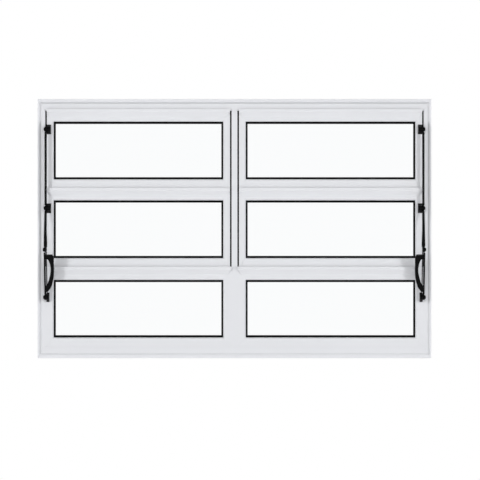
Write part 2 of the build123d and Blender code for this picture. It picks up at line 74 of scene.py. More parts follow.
MM = 0.001
SIDES = (("left", -1), ("right", 1))
TILTING = ("left_top", "left_middle", "right_top", "right_middle")
FIXED_COATED = (
    "head", "sill", "left_jamb", "right_jamb", "mullion", "transoms", "fixed_stiles", "fixed_rails",
)

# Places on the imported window
JOINT_AT = {joint["name"]: Vector(joint["pos_m"]) for joint in frame["joints"]}
PIVOT_HEIGHTS = (JOINT_AT["left_top_tilt"].z, JOINT_AT["left_middle_tilt"].z)
LEVER_JOINT = Vector((0.0, -61.7, 322.0)) * MM
SASH_FACE = 14.0 * MM
PANE_FACE = 2.05 * MM
JAMB_FACE = 576.5 * MM
JAMB_OUTSIDE = 591.0 * MM
MULLION_FACE = 8.9 * MM
RUNNING_FACES = ((-JAMB_FACE, 1), (-MULLION_FACE, -1), (MULLION_FACE, 1), (JAMB_FACE, -1))

# Edge radii of the parts that aren't coated profiles
GASKET_EDGE = 0.8 * MM
STEEL_EDGE = 0.6 * MM
GRIP_EDGE = 1.4 * MM

# Painted shade in the jambs' step, standing in for the linkages' shadow: how deep it reaches and how softly
# it ends
PAINTED_SHADE_BACK = -7.2 * MM
PAINTED_SHADE_FADE_ACROSS = 2.6 * MM
PAINTED_SHADE_FADE_DEEP = 0.5 * MM
PAINTED_SHADE_FADE_ALONG = 14 * MM

# Wiping lips: height above the pane, and how far they fall towards it
LIP_HEIGHT = 2.6 * MM
LIP_FALL = 1.7 * MM

# Bulb seals: the space in a closed lap, its wall, the bulb's flat side and wall as shares of its radius
LAP_SPACE = 5.0 * MM
LAP_WALL = 2 * MM
BULB_FLAT = 0.55
BULB_WALL = 0.3
BULB_HOLLOW = 6 * MM
SASH_BULB_INSET = 4 * MM
TRANSOM_BULB_INSET = 9 * MM

# Brush strips: their section, the room they leave a pivot, their reach past the plain strip
BRUSH_HEIGHT = 4.8 * MM
BRUSH_WIDTH = 6.0 * MM
BRUSH_BREAK = 7.2 * MM
BRUSH_OVERRUN = 4.6 * MM

# Tufts: the core and the tips as shares of the strip's height, the tips' width, how much their height varies
TUFT_CORE = 0.92
TUFT_TIP = 0.08
TUFT_TAPER = 0.86
TUFT_VARIATION = 0.4

# Lug screws: their places about a lug's pin, their lean, and where they stand across the window
SCREW_BACK = 7.2 * MM
SCREW_SPREAD = 10.4 * MM
SCREW_LEAN = (-0.84, 0.54)
LUG_SCREW_INSET = 6.0 * MM
FULCRUM_SCREWS = 567.6 * MM

# Pivot collars as (height, radius), the pin screws and the drain caps, with a cap's base and slope as shares
# of its depth
COLLAR_STEPS = (
    (-0.3 * MM, 7.6 * MM), (0.9 * MM, 7.6 * MM), (1.2 * MM, 7.3 * MM), (3.6 * MM, 7.3 * MM),
    (3.9 * MM, 7.6 * MM), (4.6 * MM, 7.6 * MM), (4.8 * MM, 7.3 * MM), (4.8 * MM, 4.4 * MM),
    (4.4 * MM, 4.2 * MM),
)
PIN_SCREW_RADIUS = 4.2 * MM
DRAIN_PLACES = (-0.44, -0.15, 0.15, 0.44)
DRAIN_RISE = 9 * MM
DRAIN_SIZE = (32 * MM, 8 * MM, 4 * MM)
CAP_BASE = 0.25
CAP_SLOPE = 0.5

# Lamps: place from the window's middle, width, height, and the share of the power that is set for them
LAMPS = (
    ("lamp_left", (-4.5, -4.5, 0.1), 0.7, 1.6, "side_lamp_power", 1.0),
    ("lamp_right", (4.5, -4.5, 0.1), 0.7, 1.6, "side_lamp_power", 1.0),
    ("lamp_above", (0.0, -3.1, 1.15), 1.8, 0.5, "front_lamp_power", 1.6),
    ("lamp_below", (0.0, -3.1, -0.85), 1.8, 0.5, "front_lamp_power", 0.4),
    ("lamp_behind", (0.0, 4.5, 1.3), 2.4, 1.2, "rear_lamp_power", 1.0),
)
FLOOR_REACH = 14.0
SENSOR_WIDTH = 36.0
WHITE = (1.0, 1.0, 1.0, 1.0)


def node(name):
    """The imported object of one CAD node."""
    return frame["nodes"][name]


# Shader helpers

def start_material(name):
    """A new node material with its shader."""
    material = bpy.data.materials.new(name)
    material.use_nodes = True
    shader = material.node_tree.nodes["Principled BSDF"]
    return material, material.node_tree.nodes, material.node_tree.links, shader


def add_noise(nodes, links, scale, detail=3.0, roughness=0.55, stretch=None):
    """Noise on object coordinates, stretched along an axis if asked."""
    place = nodes.new("ShaderNodeTexCoord")
    noise = nodes.new("ShaderNodeTexNoise")
    noise.inputs["Scale"].default_value = scale
    noise.inputs["Detail"].default_value = detail
    noise.inputs["Roughness"].default_value = roughness
    source = place.outputs["Object"]
    if stretch:
        mapping = nodes.new("ShaderNodeMapping")
        mapping.inputs["Scale"].default_value = stretch
        links.new(source, mapping.inputs["Vector"])
        source = mapping.outputs["Vector"]
    links.new(source, noise.inputs["Vector"])
    return noise.outputs["Fac"]


def add_range(nodes, links, value, low, high, from_low=0.3, from_high=0.7):
    """A texture value spread over a wanted range."""
    spread = nodes.new("ShaderNodeMapRange")
    spread.inputs["From Min"].default_value = from_low
    spread.inputs["From Max"].default_value = from_high
    spread.inputs["To Min"].default_value = low
    spread.inputs["To Max"].default_value = high
    links.new(value, spread.inputs["Value"])
    return spread.outputs["Result"]


def add_ramp(nodes, links, value, stops):
    """A texture value turned into colours."""
    ramp = nodes.new("ShaderNodeValToRGB")
    ramp.color_ramp.elements[0].position = stops[0][0]
    ramp.color_ramp.elements[0].color = (*stops[0][1], 1.0)
    ramp.color_ramp.elements[1].position = stops[-1][0]
    ramp.color_ramp.elements[1].color = (*stops[-1][1], 1.0)
    for position, colour in stops[1:-1]:
        ramp.color_ramp.elements.new(position).color = (*colour, 1.0)
    links.new(value, ramp.inputs["Fac"])
    return ramp.outputs["Color"]


def add_maths(nodes, links, operation, first, second=None):
    """One step of arithmetic on shader values."""
    step = nodes.new("ShaderNodeMath")
    step.operation = operation
    links.new(first, step.inputs[0])
    if isinstance(second, (int, float)):
        step.inputs[1].default_value = second
    elif second is not None:
        links.new(second, step.inputs[1])
    return step.outputs["Value"]


def add_band(nodes, links, value, low, high, soft):
    """One between two limits, fading to zero beyond them."""
    offset = add_maths(nodes, links, "SUBTRACT", value, (low + high) / 2)
    reach = add_maths(nodes, links, "ABSOLUTE", offset)
    half = (high - low) / 2
    return add_range(nodes, links, reach, 1.0, 0.0, half, half + soft)


def add_bump(nodes, links, shader, value, strength, distance):
    """A bump from a texture value."""
    bump = nodes.new("ShaderNodeBump")
    bump.inputs["Strength"].default_value = strength
    bump.inputs["Distance"].default_value = distance
    links.new(value, bump.inputs["Height"])
    links.new(bump.outputs["Normal"], shader.inputs["Normal"])


def shade(colour, factor):
    """A colour made darker or lighter."""
    return tuple(min(1.0, channel * factor) for channel in colour[:3])


# Finishes

def white_powder_coat(settings, name="white_powder_coat"):
    """Satin powder coat: faint orange peel and slow shifts of tone and sheen."""
    material, nodes, links, shader = start_material(name)
    base = tuple(settings.colour)
    cloud = add_noise(nodes, links, 2.2, 2.0, 0.5)
    tone = add_ramp(nodes, links, cloud, [
        (0.30, shade(base, 0.975)), (0.55, base), (0.80, shade(base, 1.012)),
    ])
    links.new(tone, shader.inputs["Base Color"])
    handling = add_noise(nodes, links, 38.0, 4.0, 0.6)
    links.new(add_range(nodes, links, handling, settings.roughness - 0.05, settings.roughness + 0.07),
              shader.inputs["Roughness"])
    peel = add_noise(nodes, links, settings.peel_scale, 2.0, 0.5)
    add_bump(nodes, links, shader, peel, settings.peel_strength, 0.0002)
    shader.inputs["Specular IOR Level"].default_value = 0.45
    return material


def jamb_coat_painted_shade(settings):
    """The same coat with painted shade in the jambs' outer step beside the linkages: a grey band that stands
    in for their shadow.
    """
    material = white_powder_coat(settings, "jamb_coat_painted_shade")
    nodes = material.node_tree.nodes
    links = material.node_tree.links
    shader = nodes["Principled BSDF"]
    tone = shader.inputs["Base Color"].links[0].from_socket
    place = nodes.new("ShaderNodeTexCoord")
    axes = nodes.new("ShaderNodeSeparateXYZ")
    links.new(place.outputs["Object"], axes.inputs["Vector"])
    across = add_band(nodes, links, add_maths(nodes, links, "ABSOLUTE", axes.outputs["X"]),
                      *settings.painted_shade_across, PAINTED_SHADE_FADE_ACROSS)
    deep = add_band(nodes, links, axes.outputs["Y"], -SASH_FACE - MM, PAINTED_SHADE_BACK, PAINTED_SHADE_FADE_DEEP)
    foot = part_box("left_lever")[0][2]
    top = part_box("left_top_lug")[1][2]
    along = add_band(nodes, links, axes.outputs["Z"], foot, top, PAINTED_SHADE_FADE_ALONG)
    # Painted shade: a band in the jambs' step, from the levers' feet up to the top lugs, where the linkages'
    # shadow falls
    shade_patch = add_maths(nodes, links, "MULTIPLY", add_maths(nodes, links, "MULTIPLY", across, deep), along)
    # Noise makes the depth of the painted shade a little uneven
    grain = add_range(nodes, links, add_noise(nodes, links, 60.0, 4.0, 0.6),
                      0.85 * settings.painted_shade_depth, settings.painted_shade_depth)
    # Inside the band the coat is mixed towards the grey of the painted shade
    mix = nodes.new("ShaderNodeMix")
    mix.data_type = "RGBA"
    share, clean, shaded, mixed = mix.inputs[0], mix.inputs[6], mix.inputs[7], mix.outputs[2]
    links.new(add_maths(nodes, links, "MULTIPLY", shade_patch, grain), share)
    links.new(tone, clean)
    shaded.default_value = (*settings.painted_shade_colour, 1.0)
    links.new(mixed, shader.inputs["Base Color"])
    return material


def black_enamel(settings):
    """Stoved black enamel on steel: small pits and rubbed patches."""
    material, nodes, links, shader = start_material("black_enamel")
    base = tuple(settings.enamel_colour)
    rubbed = add_noise(nodes, links, 90.0, 5.0, 0.65)
    tone = add_ramp(nodes, links, rubbed, [
        (0.35, shade(base, 0.8)), (0.62, base), (0.78, shade(base, 2.4)),
    ])
    links.new(tone, shader.inputs["Base Color"])
    links.new(add_range(nodes, links, rubbed, 0.30, 0.48), shader.inputs["Roughness"])
    shader.inputs["Specular IOR Level"].default_value = settings.black_sheen
    pits = add_noise(nodes, links, 1400.0, 2.0, 0.5)
    add_bump(nodes, links, shader, pits, 0.12, 0.0002)
    return material


def grip_nylon(settings):
    """Fine-grained black nylon of the levers, polished where fingers rub it."""
    material, nodes, links, shader = start_material("grip_nylon")
    base = tuple(settings.grip_colour)
    handled = add_noise(nodes, links, 26.0, 3.0, 0.55)
    tone = add_ramp(nodes, links, handled, [(0.3, shade(base, 0.85)), (0.7, shade(base, 1.3))])
    links.new(tone, shader.inputs["Base Color"])
    links.new(add_range(nodes, links, handled, 0.36, 0.56), shader.inputs["Roughness"])
    shader.inputs["Specular IOR Level"].default_value = settings.black_sheen
    grain = add_noise(nodes, links, 2200.0, 3.0, 0.6)
    add_bump(nodes, links, shader, grain, 0.18, 0.00025)
    return material


def seal_rubber(settings):
    """Black extruded rubber with a dry bloom and fine draw marks."""
    material, nodes, links, shader = start_material("seal_rubber")
    base = tuple(settings.rubber_colour)
    bloom = add_noise(nodes, links, 14.0, 4.0, 0.6)
    tone = add_ramp(nodes, links, bloom, [(0.35, base), (0.75, shade(base, 1.7))])
    links.new(tone, shader.inputs["Base Color"])
    links.new(add_range(nodes, links, bloom, 0.62, 0.80), shader.inputs["Roughness"])
    shader.inputs["Specular IOR Level"].default_value = settings.rubber_sheen
    drawn = add_noise(nodes, links, 700.0, 2.0, 0.5)
    add_bump(nodes, links, shader, drawn, 0.15, 0.0003)
    return material


def brush_pile(settings):
    """Dense grey-black pile, combed across the running gap."""
    material, nodes, links, shader = start_material("brush_pile")
    base = tuple(settings.pile_colour)
    tufts = add_noise(nodes, links, 900.0, 2.0, 0.6, stretch=(0.15, 1.0, 1.0))
    tone = add_ramp(nodes, links, tufts, [(0.35, shade(base, 0.5)), (0.65, shade(base, 1.6))])
    links.new(tone, shader.inputs["Base Color"])
    shader.inputs["Roughness"].default_value = 0.95
    shader.inputs["Specular IOR Level"].default_value = 0.05
    add_bump(nodes, links, shader, tufts, 0.7, 0.0008)
    return material


def clear_glass(settings):
    """Clear float glass with a cool cast and the faintest wiping marks."""
    material, nodes, links, shader = start_material("clear_glass")
    shader.inputs["Base Color"].default_value = (*settings.tint, 1.0)
    shader.inputs["Transmission Weight"].default_value = 1.0
    shader.inputs["IOR"].default_value = 1.45
    wipes = add_noise(nodes, links, 5.0, 4.0, 0.6, stretch=(1.0, 1.0, 2.5))
    links.new(add_range(nodes, links, wipes, 0.0, settings.smear, 0.45, 0.8), shader.inputs["Roughness"])
    return material


def bare_steel():
    """Zinc-plated steel of the pivot pins and fixing screws."""
    material, nodes, links, shader = start_material("zinc_plated_steel")
    spangle = add_noise(nodes, links, 260.0, 3.0, 0.6)
    tone = add_ramp(nodes, links, spangle, [(0.3, (0.42, 0.43, 0.44)), (0.7, (0.60, 0.61, 0.62))])
    links.new(tone, shader.inputs["Base Color"])
    shader.inputs["Metallic"].default_value = 1.0
    links.new(add_range(nodes, links, spangle, 0.28, 0.46), shader.inputs["Roughness"])
    add_bump(nodes, links, shader, spangle, 0.1, 0.0001)
    return material


# Mesh helpers

def finish_mesh(bm, name, material, body):
    """Turns a bmesh into a piece that rides on a body."""
    smooth_angle = math.radians(35)
    bmesh.ops.remove_doubles(bm, verts=bm.verts, dist=1e-7)
    bmesh.ops.recalc_face_normals(bm, faces=bm.faces)
    for face in bm.faces:
        face.smooth = True
    for edge in bm.edges:
        edge.smooth = edge.is_manifold and edge.calc_face_angle(0.0) < smooth_angle
    mesh = bpy.data.meshes.new(name)
    bm.to_mesh(mesh)
    bm.free()
    piece = bpy.data.objects.new(name, mesh)
    bpy.context.scene.collection.objects.link(piece)
    mesh.materials.append(material)
    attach(piece, body)
    return piece


def soften_edges(target, width, segments=2):
    """Gives a CAD node the small edge radius that an extrusion or a moulding has."""
    weld = target.modifiers.new("weld", "WELD")
    weld.merge_threshold = 1e-6
    bevel = target.modifiers.new("edge_radius", "BEVEL")
    bevel.width = width
    bevel.segments = segments
    bevel.limit_method = "ANGLE"
    bevel.angle_limit = math.radians(32)
    bevel.harden_normals = True
    bevel.use_clamp_overlap = True


def dress(names, material):
    """Puts one finish on whole CAD nodes."""
    for name in names:
        target = node(name)
        target.data.materials.clear()
        target.data.materials.append(material)


def turned(bm, steps, segments, matrix):
    """A turned shape: discs of (height, radius) joined one above the other, then put in place."""
    made = bmesh.ops.create_circle(bm, cap_ends=True, radius=steps[0][1], segments=segments)
    own = set(made["verts"])
    bmesh.ops.translate(bm, vec=(0, 0, steps[0][0]), verts=made["verts"])
    cap = next(face for face in bm.faces if set(face.verts) == own)
    for index, ((height, radius), (below, narrower)) in enumerate(zip(steps[1:], steps)):
        lifted = bmesh.ops.extrude_face_region(bm, geom=[cap])
        lid = next(item for item in lifted["geom"] if isinstance(item, bmesh.types.BMFace))
        if index > 0:
            bmesh.ops.delete(bm, geom=[cap], context="FACES_ONLY")
        share = radius / narrower
        bmesh.ops.scale(bm, vec=(share, share, 1.0), verts=lid.verts)
        bmesh.ops.translate(bm, vec=(0, 0, height - below), verts=lid.verts)
        own |= set(lid.verts)
        cap = lid
    bmesh.ops.transform(bm, matrix=matrix, verts=list(own))


def facing(place, axis):
    """A matrix that stands a turned shape at a place, along an axis."""
    turn = Vector((0, 0, 1)).rotation_difference(Vector(axis)).to_matrix().to_4x4()
    return Matrix.Translation(place) @ turn


def screw_head(bm, place, axis, radius):
    """A raised screw head with a round socket."""
    turned(bm, (
        (-0.5 * radius, 0.9 * radius), (0.0, 0.98 * radius), (0.22 * radius, radius),
        (0.42 * radius, 0.93 * radius), (0.6 * radius, 0.74 * radius), (0.66 * radius, 0.5 * radius),
        (0.62 * radius, 0.42 * radius), (0.12 * radius, 0.38 * radius),
    ), 24, facing(place, axis))


def lock_nut(bm, place, axis, stud, flange=7.3 * MM):
    """The flange and the crown of a lock nut, with the rounded end of its pin."""
    turned(bm, (
        (-3.1 * MM, 0.95 * flange), (-2.9 * MM, flange), (-2.2 * MM, flange), (-1.6 * MM, 0.86 * flange),
        (-1.2 * MM, 0.68 * flange),
    ), 28, facing(place, axis))
    turned(bm, (
        (-0.4 * MM, 5.1 * MM), (0.4 * MM, 4.9 * MM), (0.8 * MM, 4.2 * MM), (0.9 * MM, stud + 0.5 * MM),
        (0.5 * MM, stud + 0.1 * MM), (0.5 * MM, stud), (1.0 * MM, 0.96 * stud), (1.3 * MM, 0.7 * stud),
    ), 24, facing(place, axis))


def gasket_lip(bm, low_x, high_x, low_z, high_z, face_y, outward, side_width, level_width):
    """The thin wiping lip that a gasket lays on the glass, as a mitred ring in the XZ plane."""
    made = bmesh.ops.create_grid(bm, x_segments=1, y_segments=1, size=0.5)
    own = set(made["verts"])
    pane = next(face for face in bm.faces if all(vert in own for vert in face.verts))
    bmesh.ops.scale(bm, vec=(high_x - low_x, high_z - low_z, 1.0), verts=made["verts"])
    ring = bmesh.ops.inset_region(
        bm, faces=[pane], thickness=side_width, use_boundary=True, use_even_offset=True,
    )["faces"]
    inner = list(pane.verts)
    share = ((high_z - low_z) / 2 - level_width) / ((high_z - low_z) / 2 - side_width)
    bmesh.ops.scale(bm, vec=(1.0, share, 1.0), verts=inner)
    bmesh.ops.delete(bm, geom=[pane], context="FACES_ONLY")
    lifted = bmesh.ops.extrude_face_region(bm, geom=ring)
    crest = [item for item in lifted["geom"] if isinstance(item, bmesh.types.BMVert)]
    edge = [vert for vert in crest if any(
        (vert.co - corner.co).length < 1e-7 for corner in inner)]
    bmesh.ops.translate(bm, vec=(0, 0, LIP_HEIGHT), verts=crest)
    bmesh.ops.translate(bm, vec=(0, 0, -LIP_FALL), verts=edge)
    own |= set(inner) | set(crest)
    turn = Matrix.Rotation(math.radians(90), 4, "X")
    if outward > 0:
        turn = Matrix.Rotation(math.radians(180), 4, "Z") @ turn
    place = Matrix.Translation(((low_x + high_x) / 2, face_y, (low_z + high_z) / 2))
    bmesh.ops.transform(bm, matrix=place @ turn, verts=list(own))


def bulb_seal(bm, low_x, high_x, place_y, place_z, toward, radius):
    """A hollow rubber bulb along X, flat where it is glued to its lap."""
    sides = 20
    made = bmesh.ops.create_circle(bm, cap_ends=True, radius=radius, segments=sides)
    own = set(made["verts"])
    upright = Matrix.Rotation(math.radians(90), 3, "Y")
    bmesh.ops.rotate(bm, cent=(0, 0, 0), matrix=upright, verts=made["verts"])
    first = next(face for face in bm.faces if set(face.verts) == own)
    ring = bmesh.ops.inset_region(bm, faces=[first], thickness=BULB_WALL * radius, use_boundary=True)
    pulled = bmesh.ops.extrude_face_region(bm, geom=ring["faces"] + [first])
    far = [item for item in pulled["geom"] if isinstance(item, bmesh.types.BMVert)]
    bmesh.ops.translate(bm, vec=(high_x - low_x, 0, 0), verts=far)
    own |= set(first.verts) | set(far)
    caps = [face for face in bm.faces if len(face.verts) == sides and all(vert in own for vert in face.verts)]
    for cap in caps:
        sunk = bmesh.ops.extrude_face_region(bm, geom=[cap])
        lid = next(item for item in sunk["geom"] if isinstance(item, bmesh.types.BMFace))
        bmesh.ops.delete(bm, geom=[cap], context="FACES_ONLY")
        step = BULB_HOLLOW if lid.calc_center_median().x < (high_x - low_x) / 2 else -BULB_HOLLOW
        bmesh.ops.translate(bm, vec=(step, 0, 0), verts=lid.verts)
        own |= set(lid.verts)
    for vert in own:
        if vert.co.y * toward < -BULB_FLAT * radius:
            vert.co.y = -BULB_FLAT * radius * toward
    bmesh.ops.translate(bm, vec=(low_x, place_y, place_z), verts=list(own))


def tufted_strip(bm, wall_x, inward, low_z, high_z, height, width, pitch):
    """A brush strip on a wall that faces along X: a dense core with rows of tapered tuft ends."""
    rows = max(2, round((high_z - low_z) / pitch))
    made = bmesh.ops.create_grid(bm, x_segments=3, y_segments=rows, size=0.5)
    own = set(made["verts"])
    faces = [face for face in bm.faces if all(vert in own for vert in face.verts)]
    bmesh.ops.scale(bm, vec=(width, high_z - low_z, 1.0), verts=made["verts"])
    core = bmesh.ops.extrude_face_region(bm, geom=faces)
    top = [item for item in core["geom"] if isinstance(item, bmesh.types.BMFace)]
    raised = {vert for face in top for vert in face.verts}
    bmesh.ops.translate(bm, vec=(0, 0, TUFT_CORE * height), verts=list(raised))
    own |= raised
    tufts = bmesh.ops.extrude_discrete_faces(bm, faces=top)
    for index, tuft in enumerate(tufts["faces"]):
        centre = tuft.calc_center_median()
        rise = TUFT_TIP * height * (1.0 - TUFT_VARIATION * (index * 7 % 5) / 4)
        for vert in tuft.verts:
            vert.co = centre + (vert.co - centre) * TUFT_TAPER + Vector((0, 0, rise))
            own.add(vert)
    turn = Matrix(((0, 0, inward), (1, 0, 0), (0, 1, 0))).to_4x4()
    place = Matrix.Translation((wall_x, 0, (low_z + high_z) / 2))
    bmesh.ops.transform(bm, matrix=place @ turn, verts=list(own))


def hooded_cap(bm, place, width, height, depth):
    """A drain cap with a hood over its slot, on a face that looks to +Y."""
    made = bmesh.ops.create_grid(bm, x_segments=6, y_segments=3, size=0.5)
    own = set(made["verts"])
    faces = [face for face in bm.faces if all(vert in own for vert in face.verts)]
    bmesh.ops.scale(bm, vec=(width, height, 1.0), verts=made["verts"])
    base = bmesh.ops.extrude_face_region(bm, geom=faces)
    top = [item for item in base["geom"] if isinstance(item, bmesh.types.BMFace)]
    lifted = {vert for face in top for vert in face.verts}
    bmesh.ops.translate(bm, vec=(0, 0, CAP_BASE * depth), verts=list(lifted))
    own |= lifted
    hood = [face for face in top if face.calc_center_median().y > -height / 6
            and abs(face.calc_center_median().x) < width / 3]
    raised = bmesh.ops.extrude_face_region(bm, geom=hood)
    bmesh.ops.delete(bm, geom=hood, context="FACES_ONLY")
    crest = {item for item in raised["geom"] if isinstance(item, bmesh.types.BMVert)}
    bmesh.ops.translate(bm, vec=(0, 0, (1 - CAP_BASE) * depth), verts=list(crest))
    own |= crest
    for vert in crest:
        if vert.co.y > height / 3:
            vert.co.z -= CAP_SLOPE * depth
    turn = Matrix.Rotation(math.radians(-90), 4, "X") @ Matrix.Rotation(math.radians(180), 4, "Z")
    bmesh.ops.transform(bm, matrix=Matrix.Translation(place) @ turn, verts=list(own))


# Settings that a user would change

class CoatSettings(bpy.types.PropertyGroup):
    """Powder coat of the frame and the sashes."""

    colour: FloatVectorProperty(
        name="Coat colour", description="Colour of the powder coat",
        subtype="COLOR", size=3, min=0.0, max=1.0, default=(0.775, 0.785, 0.815),
    )
    roughness: FloatProperty(
        name="Coat roughness", description="How matt the powder coat is",
        subtype="FACTOR", min=0.0, max=1.0, default=0.38,
    )
    peel_scale: FloatProperty(
        name="Orange peel size", description="How fine the coat's orange peel is", min=50.0, default=650.0,
    )
    peel_strength: FloatProperty(
        name="Orange peel depth", description="How strong the coat's orange peel is",
        subtype="FACTOR", min=0.0, max=1.0, default=0.06,
    )
    # The next three settings set the painted shade in the jambs' step, which stands in for the linkages'
    # shadow
    painted_shade_depth: FloatProperty(
        name="Painted shade depth", description="How far the painted shade in the jambs' step covers the coat",
        subtype="FACTOR", min=0.0, max=1.0, default=0.60,
    )
    painted_shade_colour: FloatVectorProperty(
        name="Painted shade colour", description="Colour of the painted shade in the jambs' step",
        subtype="COLOR", size=3, min=0.0, max=1.0, default=(0.15, 0.15, 0.155),
    )
    painted_shade_across: FloatVectorProperty(
        name="Painted shade band", description="Where the painted shade starts and ends, from the window's middle",
        unit="LENGTH", size=2, default=(590.6 * MM, 593.6 * MM),
    )
    edge_radius: FloatProperty(
        name="Profile edge radius", description="Small radius along the edges of the profiles",
        unit="LENGTH", min=0.0, default=0.5 * MM,
    )


class SealSettings(bpy.types.PropertyGroup):
    """Glazing gaskets, lap seals and brush seals."""

    rubber_colour: FloatVectorProperty(
        name="Rubber colour", description="Colour of the gaskets",
        subtype="COLOR", size=3, min=0.0, max=1.0, default=(0.0022, 0.0024, 0.0026),
    )
    pile_colour: FloatVectorProperty(
        name="Pile colour", description="Colour of the brush seals in the running gaps",
        subtype="COLOR", size=3, min=0.0, max=1.0, default=(0.0030, 0.0032, 0.0036),
    )
    rubber_sheen: FloatProperty(
        name="Rubber sheen", description="How much light the gaskets mirror",
        subtype="FACTOR", min=0.0, max=1.0, default=0.07,
    )
    lip_start: FloatProperty(
        name="Lip start", description="Distance from a gasket's outer edge to its wiping lip",
        unit="LENGTH", min=0.0, default=9.0 * MM,
    )
    lip_side_width: FloatProperty(
        name="Upright lip width", description="Width of the wiping lip along the stiles",
        unit="LENGTH", min=0.0, default=4.7 * MM,
    )
    lip_level_width: FloatProperty(
        name="Level lip width", description="Width of the wiping lip along the rails",
        unit="LENGTH", min=0.0, default=5.8 * MM,
    )
    tuft_pitch: FloatProperty(
        name="Tuft pitch", description="Spacing of the tufts of the brush seals",
        unit="LENGTH", min=0.0005, default=2.4 * MM,
    )
    lap_seal_relief: FloatProperty(
        name="Lap seal relief", description="Gap that the bulb seal leaves to the closed sash",
        unit="LENGTH", min=0.0, default=0.6 * MM,
    )


class GlassSettings(bpy.types.PropertyGroup):
    """Panes."""

    tint: FloatVectorProperty(
        name="Glass tint", description="Colour of the light that passes the panes",
        subtype="COLOR", size=3, min=0.0, max=1.0, default=(0.985, 0.996, 1.0),
    )
    smear: FloatProperty(
        name="Wiping marks", description="Roughness of the faint wiping marks",
        subtype="FACTOR", min=0.0, max=1.0, default=0.03,
    )


class HardwareSettings(bpy.types.PropertyGroup):
    """Lugs, rods, links and levers."""

    enamel_colour: FloatVectorProperty(
        name="Enamel colour", description="Colour of the lugs, rods and links",
        subtype="COLOR", size=3, min=0.0, max=1.0, default=(0.0016, 0.0016, 0.0018),
    )
    grip_colour: FloatVectorProperty(
        name="Grip colour", description="Colour of the levers",
        subtype="COLOR", size=3, min=0.0, max=1.0, default=(0.0018, 0.0018, 0.0020),
    )
    black_sheen: FloatProperty(
        name="Black sheen", description="How much light the black parts mirror",
        subtype="FACTOR", min=0.0, max=1.0, default=0.07,
    )
    screw_radius: FloatProperty(
        name="Lug screw radius", description="Radius of the screw heads in the lugs",
        unit="LENGTH", min=0.0, default=2.6 * MM,
    )
    stud_radius: FloatProperty(
        name="Stud radius", description="Radius of the pin ends that stand out of the nuts",
        unit="LENGTH", min=0.0, default=2.5 * MM,
    )
    lever_flange: FloatProperty(
        name="Lever nut", description="Radius of the lock nut on a lever's upper pin",
        unit="LENGTH", min=0.0, default=6.9 * MM,
    )
    rib_radius: FloatProperty(
        name="Rib radius", description="Radius of the rib pressed along a rod or a link",
        unit="LENGTH", min=0.0, default=2.4 * MM,
    )
    rib_margin: FloatProperty(
        name="Rib margin", description="Distance from a rod's pins to the ends of its rib",
        unit="LENGTH", min=0.0, default=8.0 * MM,
    )


class StageSettings(bpy.types.PropertyGroup):
    """Camera, lamps and floor."""

    camera_distance: FloatProperty(
        name="Camera distance", description="Distance of the camera from the window's face",
        unit="LENGTH", min=1.0, default=7.0,
    )
    view_width: FloatProperty(
        name="View width", description="Width of the picture at the window's face",
        unit="LENGTH", min=0.1, default=1.4619,
    )
    aim_right: FloatProperty(
        name="Aim to the right", description="How far right of the window's middle the camera stands",
        unit="LENGTH", default=16.8 * MM,
    )
    aim_up: FloatProperty(
        name="Aim upwards", description="How far above the window's middle the camera stands",
        unit="LENGTH", default=-34.8 * MM,
    )
    side_lamp_power: FloatProperty(
        name="Side lamp power", description="Power of each lamp at the side",
        unit="POWER", min=0.0, default=118.0,
    )
    front_lamp_power: FloatProperty(
        name="Front lamp power",
        description="Mean power of the two lamps in front; the upper one has most of it",
        unit="POWER", min=0.0, default=11.0,
    )
    rear_lamp_power: FloatProperty(
        name="Rear lamp power", description="Power of the lamp behind the window",
        unit="POWER", min=0.0, default=90.0,
    )
    world_level: FloatProperty(
        name="Room light", description="Strength of the even light all round",
        min=0.0, default=0.28,
    )
    floor_drop: FloatProperty(
        name="Floor drop", description="How far the floor lies below the frame",
        unit="LENGTH", min=0.0, default=0.9,
    )


# Operators, one for each group of pieces

class WINDOW_OT_coat_profiles(bpy.types.Operator):
    """Coat the aluminium profiles and soften their edges"""

    bl_idname = "window.coat_profiles"
    bl_label = "Coat profiles"

    def execute(self, context):
        settings = context.scene.window_coat
        coat = white_powder_coat(settings)
        names = list(FIXED_COATED)
        for sash in TILTING:
            names += [sash + "_rails", sash + "_stiles"]
        dress(names, coat)
        # The jambs get the coat with painted shade in their step
        dress(["left_jamb", "right_jamb"], jamb_coat_painted_shade(settings))
        for name in names:
            soften_edges(node(name), settings.edge_radius)
        return {"FINISHED"}


class WINDOW_OT_glaze(bpy.types.Operator):
    """Put clear glass in every pane"""

    bl_idname = "window.glaze"
    bl_label = "Glaze"

    def execute(self, context):
        glass = clear_glass(context.scene.window_glass)
        dress([sash + "_glass" for sash in TILTING] + ["fixed_glass"], glass)
        return {"FINISHED"}


class WINDOW_OT_seal(bpy.types.Operator):
    """Blacken the gaskets and brushes and add the bulb seals of the laps"""

    bl_idname = "window.seal"
    bl_label = "Seal"

    def execute(self, context):
        settings = context.scene.window_seals
        rubber = seal_rubber(settings)
        gaskets = [sash + "_gasket" for sash in TILTING] + ["fixed_gaskets"]
        dress(gaskets, rubber)
        for name in gaskets:
            soften_edges(node(name), GASKET_EDGE, 3)
        add_lips(settings, rubber)
        pile = brush_pile(settings)
        add_brushes(settings, pile)
        add_bulbs(settings, rubber)
        return {"FINISHED"}


def add_lips(settings, rubber):
    """Wiping lips on both faces of every pane."""
    for name, body in [(sash, sash + "_sash") for sash in TILTING] + [("fixed", "frame")]:
        bm = bmesh.new()
        gasket = name + ("_gaskets" if name == "fixed" else "_gasket")
        low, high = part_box(gasket)
        spans = [(low[0], high[0])]
        if name == "fixed":
            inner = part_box("right_top_gasket")[0][0]
            spans = [(low[0], -inner), (inner, high[0])]
        for low_x, high_x in spans:
            for outward in (-1, 1):
                gasket_lip(bm, low_x + settings.lip_start, high_x - settings.lip_start,
                           low[2] + settings.lip_start, high[2] - settings.lip_start,
                           outward * PANE_FACE, outward, settings.lip_side_width, settings.lip_level_width)
        finish_mesh(bm, name + "_lips", rubber, body)


